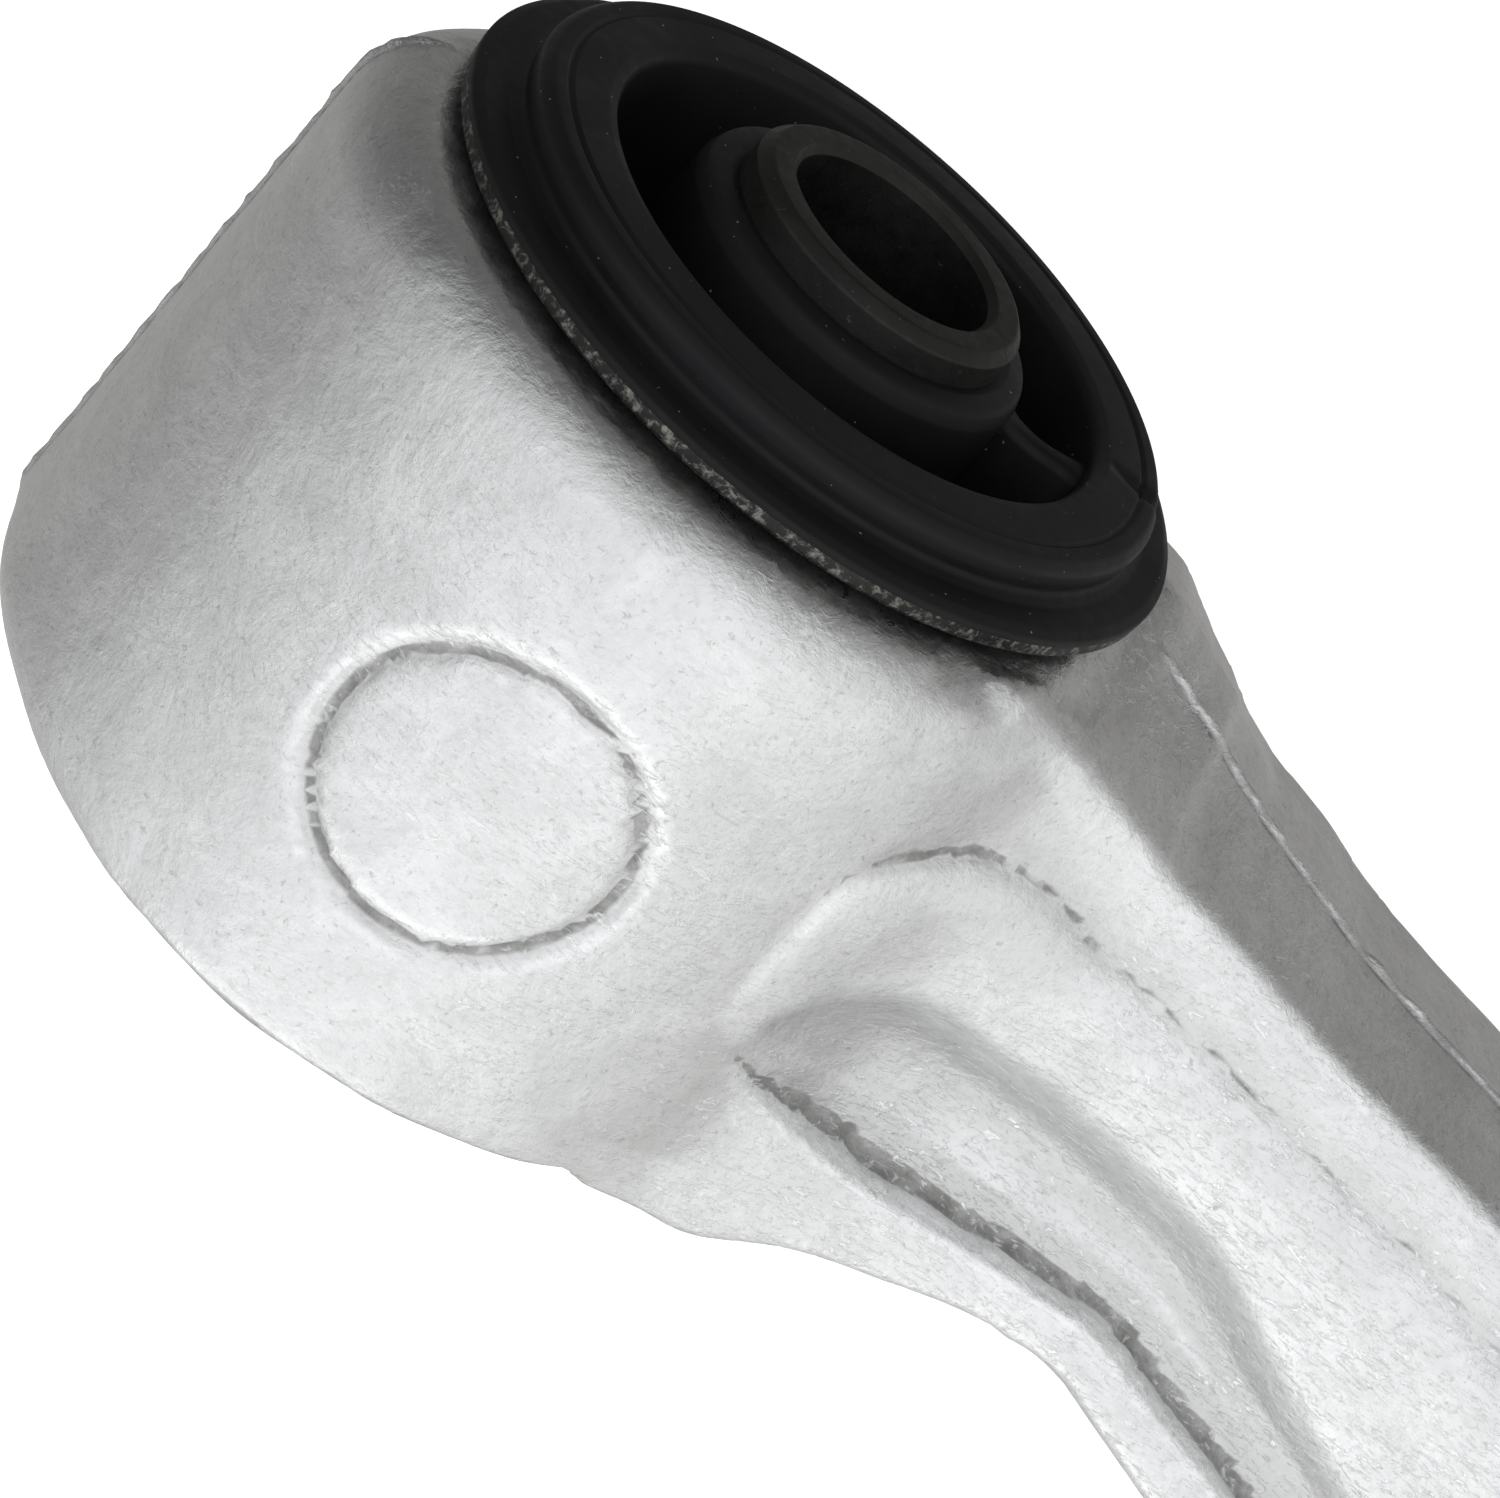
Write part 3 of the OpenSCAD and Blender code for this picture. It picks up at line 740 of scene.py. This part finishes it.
alu = forged_aluminium()
net_x = spaced(-32.2, 0.71, 76.0, 1.9, JX - 33, 1.0, JX + 31.2)
net_y = spaced(JY - 31.5, 0.9, -24.5, 0.71, 23.5)
net_z = spaced(-31.2, 0.95, -0.9, 0.22, 0.9, 0.4, 2.0, 0.2, 3.4, 0.75, 31.2)
arm = piece(netted("forged_arm", forging, net_x, net_y, net_z), "arm", "forging", alu, "arm_forging")
store_relief(arm, "relief", forging, 0.55)
# hollowness at a broad scale, which the material turns into painted shade
store_relief(arm, "basin", forging, 2.6)

black = rubber("bush_rubber_black")
steel = phosphated_steel()


def notched(p):
    """Shallow notch across the face of the lip, in line with the rib."""
    r, across = np.hypot(p[:, 0], p[:, 2]), p[:, 2] + 0.13 * p[:, 0]
    hit = (p[:, 0] > 0) * (p[:, 1] > 25) * np.exp(-(across / 0.55) ** 2) * step(19.0, 20.2, r)
    return p - np.stack((0 * r, 0.55 * hit, 0 * r), 1)


# bush: flanged sleeve, rubber bonded to it, rubber round the inner sleeve, inner sleeve
piece(turned("bush_flanged_sleeve", [
    (21, -21.3, 0.2), (22.99, -21.3, 0.4), (22.99, 21.3, 0.1), (25.55, 21.3, 0.25), (25.8, 21.6, 0.15),
    (25.8, 22.3, 0.15), (25.5, 22.45, 0.1), (21, 22.45, 0)], n=180),
    "arm", "sleeve_steel", steel, "bush_outer_sleeve")
piece(turned("bush_rubber_outer", [
    (14.75, 8, 0), (17.0, 8.2, 1.8), (17.6, 12, 2), (17.6, 25.2, 0), (17.9, 25.75, 0.5),
    (18.6, 25.95, 0.5), (20.95, 25.9, 0.1), (21.2, 25.68, 0.08), (21.5, 25.88, 0.2), (22.35, 25.85, 0.6),
    (22.95, 25.2, 0.8), (22.9, 24.3, 0.8), (22.75, 23.5, 0.8), (23.6, 23.15, 0.8), (25.2, 23.1, 0.7),
    (25.84, 22.75, 0.3), (25.84, 22.32, 0.05), (20.98, 22.3, 0), (20.98, -21.31, 0), (22.7, -21.5, 0.5),
    (22.7, -25.2, 1.2), (20.6, -26.1, 1), (18.2, -26.0, 0.6), (17.6, -25.2, 0.6), (17.6, -12, 2),
    (17.0, -8.2, 1.8), (14.75, -8, 0)], n=360, warp=notched),
    "arm", "rubber", black, "bush_rubber")
piece(turned("bush_rubber_inner", [
    (14.74, 8, 0), (14.74, -8, 0), (13.2, -8.4, 1.5), (12.4, -12, 2), (11.9, -22, 0), (11.9, -25.6, 0.9),
    (10.6, -26.4, 0.5), (9.74, -26.4, 0), (9.74, 26.45, 0), (10.3, 26.55, 0.3), (11.6, 26.3, 0.7),
    (12.0, 25.2, 0.8), (12.0, 21, 3), (12.5, 12, 2), (13.2, 8.4, 1.5)], n=144),
    "bush_core", "rubber", black)
piece(turned("bush_tube", [
    (7.1, 28.4, 0), (7.55, 28.9, 0.05), (9.05, 28.9, 0.35), (9.75, 28.2, 0.35), (9.75, -28.2, 0.35),
    (9.05, -28.9, 0.35), (7.55, -28.9, 0.05), (7.1, -28.4, 0)], n=128),
    "bush_core", "inner_steel", steel, "bush_inner_sleeve")


def rib():
    """Thin rubber rib from the collar to the lip, with its top edge rounded and its ends flared."""
    half, low, middle_z, near, far = 1.0, 7.0, -1.8, 11.6, 18.0
    points, faces = [], []
    stops = np.linspace(near, far, 13)
    # across the rib in half thicknesses, and part of its height
    section = [(-1, 0), (-1, 0.86), (-0.8, 0.96), (-0.4, 1.0), (0.4, 1.0), (0.8, 0.96), (1, 0.86), (1, 0)]
    for x in stops:
        flare = half * (1 + 0.9 * math.exp(-(x - near) / 0.7) + 1.1 * math.exp(-(far - x) / 0.8))
        top = 24.2 + 0.5 * step(14, 18, x) + 0.5 * math.exp(-(x - near) / 0.8)
        for s, t in section:
            height = low + (top - low) * (1 if t > 0.99 else t ** 0.25) - (1 - t) * 0.6 * (t > 0)
            points.append((x, height, middle_z + s * flare))
    m = len(section)
    for i in range(len(stops) - 1):
        for j in range(m - 1):
            a = i * m + j
            faces.append((a, a + 1, a + m + 1, a + m))
        faces.append((i * m + m - 1, i * m, i * m + m, i * m + 2 * m - 1))
    faces.append(tuple(range(m))[::-1])
    faces.append(tuple(range((len(stops) - 1) * m, len(stops) * m)))
    obj = mesh_object("bush_rib", points, faces)
    sharp(obj, 50)
    obj.data.materials.append(black)
    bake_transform(obj)


rib()


# ---------------------------------------------------------------- the ball joint
def joint_ring(name, points):
    """Ring turned about the ball joint's upright axis."""
    return turned(name, points, axis="z", centre=CENTRE)


housing_steel = lathed_steel("joint_housing_steel", (0.075, 0.075, 0.078), (0.14, 0.14, 0.145), 0.34, 0.52)
plated = lathed_steel("plated_cover_steel", (0.42, 0.40, 0.33), (0.58, 0.55, 0.45), 0.26, 0.42, 0.2)
spring = lathed_steel("spring_steel", (0.10, 0.10, 0.11), (0.20, 0.20, 0.21), 0.30, 0.45, 0.1)
wire_steel = lathed_steel("ring_wire_steel", (0.42, 0.42, 0.43), (0.60, 0.60, 0.61), 0.22, 0.36, 0.1)
bright = lathed_steel("stud_plated_steel", (0.44, 0.445, 0.45), (0.60, 0.605, 0.61), 0.22, 0.36, 0.45)
boot_black = rubber("dust_boot_rubber", (0.010, 0.010, 0.011), 700)
seat_white = moulded_plastic("seat_plastic", (0.62, 0.60, 0.53), (0.72, 0.70, 0.63))
pad_black = rubber("preload_ring_rubber", (0.012, 0.012, 0.012), 600)

piece(joint_ring("joint_housing_turned", [
    (15.32, -15.82, 0), (14.1, -15.82, 0.1), (14.1, -17.3, 0.2), (14.7, -18.0, 0.25), (20.3, -18.0, 0.5),
    (21.0, -17.2, 0.3), (21.0, -14.7, 0.12), (19.6, -14.7, 0.1), (19.6, -12.9, 0.1), (21.6, -12.9, 0.15),
    (22.0, -12.4, 0.15), (22.0, 13.0, 0.2), (24.9, 13.0, 0.35), (25.0, 15.0, 0.5), (24.4, 15.2, 0.3),
    (20.4, 15.2, 0.3), (19.8, 15.4, 0.3), (19.8, 20.5, 0.3), (19.0, 21.5, 0.4),
    (MOUTH + 21.5 * math.tan(LEAN), 21.5, 0.5), (MOUTH + 11.77 * math.tan(LEAN), 11.77, 0.3),
    (15.32, 8.37, 0)]), "arm", "housing_steel", housing_steel, "joint_housing")


def circlip_outline():
    """Outside of the open ring, with a lug at each end of its gap."""
    outer, inner, half_gap = 24.4, 19.75, 2.6
    lug = [(half_gap, -20.2), (half_gap, -25.2)]
    for a in np.linspace(math.pi * 0.8, 0.1, 9):
        lug.append((half_gap + 2.6 + 2.6 * math.cos(a), -24.8 - 1.9 * math.sin(a)))
    lug += [(half_gap + 5.6, -24.0), (half_gap + 6.4, -23.2)]
    first = math.atan2(-23.0, half_gap + 7.2)
    turn = 2 * math.pi - 2 * (first + math.pi / 2)
    outside = [(outer * math.cos(a), outer * math.sin(a))
               for a in (first + turn * t for t in np.linspace(0, 1, 120))]
    back = [(-x, y) for x, y in lug][::-1]
    begin = math.atan2(-19.6, half_gap + 0.5)
    turn = 2 * math.pi - 2 * (begin + math.pi / 2)
    inside = [(inner * math.cos(a), inner * math.sin(a))
              for a in (begin + turn * t for t in np.linspace(1, 0, 110))]
    return [(x + JX, y + JY) for x, y in lug + outside + back + inside]


lug_holes = [[(JX + side * 5.3 + 1.15 * math.cos(a), JY - 24.3 + 1.15 * math.sin(a))
              for a in np.linspace(0, 2 * math.pi, 24, endpoint=False)] for side in (-1, 1)]
piece(plate("joint_circlip_lugged", circlip_outline(), lug_holes, -14.55, -13.06),
      "arm", "circlip_steel", spring, "joint_circlip")
piece(joint_ring("joint_cover_pressed", [
    (0, -14.06, 0), (15.26, -14.06, 0.1), (15.26, -15.8, 0.3), (13.4, -15.8, 0.4), (12.3, -16.5, 0.5),
    (9.6, -16.6, 0.6), (8.6, -15.7, 0.7), (2.6, -15.5, 0.6), (1.8, -16.0, 0.4), (0, -16.1, 0)]),
    "arm", "cover_steel", plated, "joint_cover")

ball = [(BALL_R * math.cos(a), BALL_R * math.sin(a), 0)
        for a in np.linspace(math.radians(-56), math.acos(NECK_R / BALL_R), 40)]
piece(joint_ring("ball_stud_turned", [(0, ball[0][1], 0)] + ball + [
    (NECK_R, 35.6, 1.5), (9.0, 36.7, 0.4), (9.0, 37.3, 0.4), (7.75, 57.0, 0.2), (7.3, 57.4, 0.2),
    (5.95, 57.8, 0.4), (5.95, 58.3, 0.2), (0, 58.3, 0)]), "stud", "stud_steel", bright, "ball_stud")
piece(thread("stud_thread_m14", 6.97, 6.08, 1.5, 58.2, STUD_TOP, 3.03, 7.0, CENTRE),
      "stud", "stud_steel", bright)

lower = joint_ring("dust_boot_lower", [
    (22.2, BOOT_WAIST, 0), (21.05, BOOT_WAIST, 0), (21.1, 25.6, 0.8), (22.35, 23.9, 1.0),
    (22.2, 22.3, 1.0), (20.5, 20.4, 0.8), (19.86, 19.6, 0.4), (19.86, 15.45, 0.3), (22.2, 15.45, 0.5),
    (22.3, 16.25, 0.25), (21.45, 16.4, 0.2), (21.45, 18.0, 0.2), (22.3, 18.15, 0.3), (22.0, 19.7, 1.0),
    (23.5, 21.9, 1.4), (23.7, 24.0, 1.4), (22.5, 25.5, 0.9)])
upper = joint_ring("dust_boot_upper", [
    (21.05, BOOT_WAIST, 0), (22.2, BOOT_WAIST, 0), (22.35, 26.9, 0.3), (23.4, 27.8, 0.7),
    (23.0, 29.4, 1.2), (20.0, 30.7, 2.0), (16.5, 30.6, 2.5), (13.6, 31.2, 1.5), (12.2, 31.9, 0.6),
    (10.62, 32.3, 0.2), (10.62, 33.9, 0.2), (11.6, 34.1, 0.3), (11.4, 35.0, 0.4), (9.8, 35.5, 0.3),
    (8.03, 35.3, 0.1), (8.03, 30.1, 0.2), (12.0, 29.7, 1.5), (16.5, 29.2, 2), (19.6, 29.3, 1.0),
    (21.6, 28.5, 0.8), (21.9, 27.9, 0.5)])
for half, slot_bodies, start, end in ((lower, ("arm", "boot"), BOOT_FOOT, BOOT_WAIST),
                                      (upper, ("boot", "boot_collar"), BOOT_WAIST, BOOT_NECK)):
    half.data.materials.append(boot_black)
    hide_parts("dust_boot")
    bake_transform(half)
piece(coil("boot_ring_low", 21.46, 0.74, 2.12, 17.2, CENTRE),
      "arm", "ring_steel", wire_steel, "boot_lower_ring")
piece(coil("boot_ring_high", 10.63, 0.66, 2.12, 33.1, CENTRE),
      "boot_collar", "ring_steel", wire_steel, "boot_upper_ring")

# the seat and its ring keep the CAD's shape
for node, material in (("ball_seat", seat_white), ("preload_ring", pad_black)):
    obj = frame["nodes"][node]
    obj.data.materials.clear()
    obj.data.materials.append(material)

# ---------------------------------------------------------------- floor, light and camera
FLOOR = 3000
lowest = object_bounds()[0].z / MM
corners = [(x * FLOOR, y * FLOOR, lowest) for x, y in ((-1, -1), (1, -1), (1, 1), (-1, 1))]
floor = mesh_object("floor", corners, [(0, 1, 2, 3)], smooth=False)
n = Nodes("floor_white")
floor.data.materials.append(n.finish(Base_Color=(0.9, 0.9, 0.9), Roughness=0.9,
                                     Emission_Color=(1.0, 1.0, 1.0), Emission_Strength=0.75))
floor.visible_glossy = floor.visible_diffuse = floor.visible_shadow = False


def soft_box(name, where, look_at, size, power):
    """Rectangular light, in metres and watts, turned towards look_at."""
    data = bpy.data.lights.new(name, "AREA")
    data.shape, data.size, data.size_y, data.energy = "RECTANGLE", size[0], size[1], power
    obj = bpy.data.objects.new(name, data)
    obj.location = where
    obj.rotation_euler = (Vector(look_at) - Vector(where)).to_track_quat("-Z", "Y").to_euler()
    bpy.context.scene.collection.objects.link(obj)


soft_box("key", (0.15, -0.75, 0.42), (0.02, 0, 0), (0.7, 0.5), 0.5)

# a white room: bright overhead, brighter towards +X and -Y, dimmer low down and towards -X and +Y
world = bpy.data.worlds.new("studio")
world.use_nodes = True
tree = world.node_tree
tree.nodes.clear()


def w_math(op, a, b):
    """Maths node in the world's tree."""
    node = tree.nodes.new("ShaderNodeMath")
    node.operation = op
    for socket, value in zip(node.inputs, (a, b)):
        if isinstance(value, (int, float)):
            socket.default_value = value
        else:
            tree.links.new(value, socket)
    return node.outputs[0]


split = tree.nodes.new("ShaderNodeSeparateXYZ")
tree.links.new(tree.nodes.new("ShaderNodeTexCoord").outputs["Generated"], split.inputs[0])
dx, dy, dz = split.outputs
over, under = w_math("MAXIMUM", dz, 0.0), w_math("MINIMUM", dz, 0.0)
behind = w_math("SUBTRACT", w_math("MULTIPLY", dy, 0.1), w_math("MULTIPLY", dx, 0.99))
dark = w_math("POWER", w_math("MAXIMUM", behind, 0.0), 3.0)
far_side = w_math("MULTIPLY", dy, w_math("SUBTRACT", 1.0, w_math("MULTIPLY", over, 0.7)))
level = 0.405
for factor, term in ((0.08, dx), (0.14, w_math("MAXIMUM", dx, 0.0)), (0.62, over), (0.10, under),
                     (-0.16, dark), (-0.25, far_side)):
    level = w_math("ADD", level, w_math("MULTIPLY", term, factor))
tint = tree.nodes.new("ShaderNodeMix")
tint.data_type = "RGBA"
tint.inputs[6].default_value = (1.0, 0.985, 0.96, 1)
tint.inputs[7].default_value = (0.975, 0.99, 1.0, 1)
tree.links.new(w_math("ADD", w_math("MULTIPLY", dz, 0.5), 0.5), tint.inputs[0])
back = tree.nodes.new("ShaderNodeBackground")
tree.links.new(tint.outputs[2], back.inputs["Color"])
tree.links.new(w_math("MAXIMUM", w_math("MULTIPLY", level, 0.96), 0.05), back.inputs["Strength"])
tree.links.new(back.outputs[0], tree.nodes.new("ShaderNodeOutputWorld").inputs[0])
bpy.context.scene.world = world

# place and angle come from a least squares fit to the bush's circles and the boss's outline
camera = bpy.data.objects.new("camera", bpy.data.cameras.new("camera"))
right = Vector((0.75737, 0.60410, -0.24792))
up = Vector((-0.64577, 0.63664, -0.42151))
away = Vector((-0.09680, 0.47934, 0.87228))
camera_place = Matrix.Translation((-0.01005, 0.11741, 0.21981))
camera.matrix_world = camera_place @ Matrix((right, up, away)).transposed().to_4x4()
camera.data.sensor_width = 36
camera.data.lens = 97.0
camera.data.clip_start, camera.data.clip_end = 0.005, 20
bpy.context.scene.collection.objects.link(camera)
bpy.context.scene.camera = camera
bpy.context.scene.view_settings.view_transform = "Standard"
